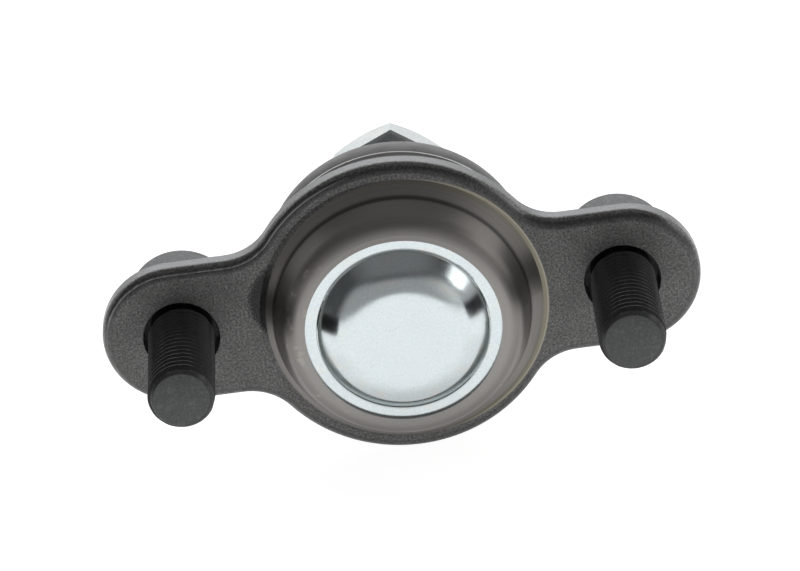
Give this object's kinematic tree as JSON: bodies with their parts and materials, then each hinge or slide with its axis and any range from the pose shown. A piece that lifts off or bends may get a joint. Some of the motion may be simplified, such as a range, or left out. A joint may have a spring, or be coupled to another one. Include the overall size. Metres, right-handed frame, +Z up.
{
  "type": "suspension ball joint",
  "caption": "Flange-mounted suspension ball joint: forged two-ear housing with a domed cover plate, and a tapered threaded stud that swings and turns in a plastic seat under a rubber boot.",
  "frame": {"origin": "on the stud axis, in the plane of the ears' mounting face, midway between the two flange bolts", "axes": "+Y along the stud axis towards the nut, so the cover plate and the bolt tips point along -Y; +X along the two ears; +Z up"},
  "size_m": [0.0904, 0.0749, 0.0472],
  "materials": {
    "forged_steel": "dark forged skin, fine grain, with turned brown-grey steel on the boss and lip",
    "zinc_plate": "bright zinc plate on pressed sheet",
    "seat_polymer": "natural acetal",
    "stud_steel": "turned and ground steel",
    "boot_rubber": "matte black rubber",
    "ring_wire": "bright spring wire",
    "nut_zinc": "bright zinc plate",
    "lock_polymer": "natural nylon",
    "black_bolt": "black phosphate, lightly oiled"
  },
  "bodies": {
    "housing": {"housing": "forged_steel", "cover_plate": "zinc_plate", "ball_seat": "seat_polymer", "boot_lower_ring": "ring_wire", "bolt_left": "black_bolt", "bolt_right": "black_bolt"},
    "boot": {"dust_boot": "boot_rubber"},
    "collar": {"boot_upper_ring": "ring_wire"},
    "stud": {"ball_stud": "stud_steel", "stud_nut": "nut_zinc", "nut_lock_ring": "lock_polymer"}
  },
  "joints": [
    {"name": "stud_swing_x", "type": "hinge", "parent": "housing", "child": "boot", "pos_m": [0, 0.0046, 0], "axis": [1, 0, 0], "range_deg": [-17.5, 17.5], "deforming": ["dust_boot"]},
    {"name": "stud_swing_z", "type": "hinge", "parent": "boot", "child": "collar", "pos_m": [0, 0.0046, 0], "axis": [0, 0, 1], "range_deg": [-17.5, 17.5], "deforming": ["dust_boot"]},
    {"name": "stud_spin", "type": "hinge", "parent": "collar", "child": "stud", "pos_m": [0, 0.0046, 0], "axis": [0, 1, 0], "continuous": true}
  ]
}
